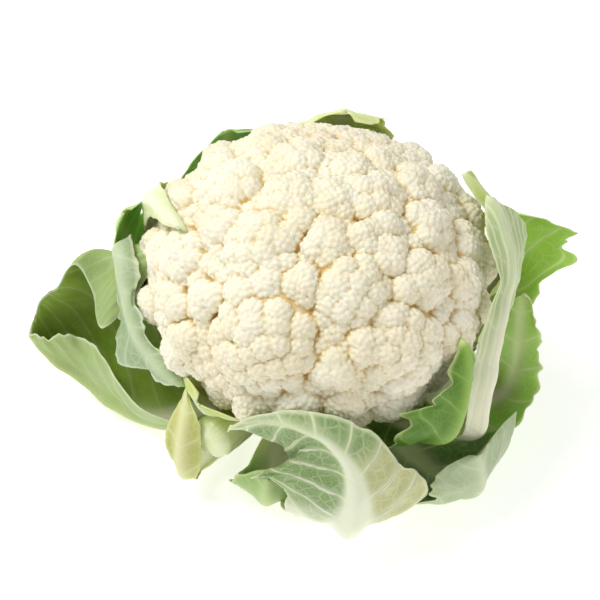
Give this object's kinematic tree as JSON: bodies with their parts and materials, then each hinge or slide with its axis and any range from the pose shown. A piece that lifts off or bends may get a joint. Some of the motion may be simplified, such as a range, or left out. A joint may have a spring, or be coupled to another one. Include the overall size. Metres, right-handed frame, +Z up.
{
  "type": "cauliflower",
  "caption": "Whole cauliflower with a domed head of florets on a cut stalk, ringed by trimmed and torn outer leaves.",
  "frame": {"origin": "centre of the stalk's flat cut face, which the cauliflower stands on", "axes": "+Z up through the crown of the head, +X to the right and -Y towards the viewer of the picture"},
  "size_m": [0.2483, 0.1953, 0.141],
  "materials": {
    "curd": "dry, finely grained, ivory plant tissue",
    "stalk": "smooth pale green stem with a dry cut face",
    "cut_leaf_stalk": "moist, shiny pale green leaf stalk",
    "leaf_left_flap": "waxy leaf with a pale rib and veins",
    "leaf_left_rim": "waxy leaf with a pale rib and veins",
    "leaf_right_torn": "waxy leaf with a pale rib and veins",
    "leaf_right_point": "waxy leaf with a pale rib and veins",
    "leaf_back_frill": "waxy leaf with a pale rib and veins",
    "leaf_far_left_tip": "waxy leaf with a pale rib and veins",
    "leaf_right_tall": "waxy leaf with a pale rib and veins",
    "leaf_far_left": "waxy leaf with a pale rib and veins",
    "leaf_back": "waxy leaf with a pale rib and veins",
    "leaf_right_flag": "waxy leaf with a pale rib and veins",
    "leaf_right_veined": "waxy leaf with a pale rib and veins",
    "leaf_left_drop": "waxy leaf with a pale rib and veins",
    "leaf_front_low": "waxy leaf with a pale rib and veins",
    "leaf_right_low": "waxy leaf with a pale rib and veins",
    "leaf_left": "waxy leaf with a pale rib and veins",
    "leaf_front": "waxy leaf with a pale rib and veins",
    "leaf_back_left": "waxy leaf with a pale rib and veins",
    "leaf_back_right": "waxy leaf with a pale rib and veins"
  },
  "bodies": {
    "root": {"head": "curd", "stalk": "stalk", "leaf_stub": "cut_leaf_stalk", "leaf_left_flap": "leaf_left_flap", "leaf_left_rim": "leaf_left_rim", "leaf_right_torn": "leaf_right_torn", "leaf_right_point": "leaf_right_point", "leaf_back_frill": "leaf_back_frill", "leaf_far_left_tip": "leaf_far_left_tip", "leaf_right_tall": "leaf_right_tall", "leaf_far_left": "leaf_far_left", "leaf_back": "leaf_back", "leaf_right_flag": "leaf_right_flag", "leaf_right_veined": "leaf_right_veined", "leaf_left_drop": "leaf_left_drop", "leaf_front_low": "leaf_front_low", "leaf_right_low": "leaf_right_low", "leaf_left": "leaf_left", "leaf_front": "leaf_front", "leaf_back_left": "leaf_back_left", "leaf_back_right": "leaf_back_right"}
  },
  "joints": []
}
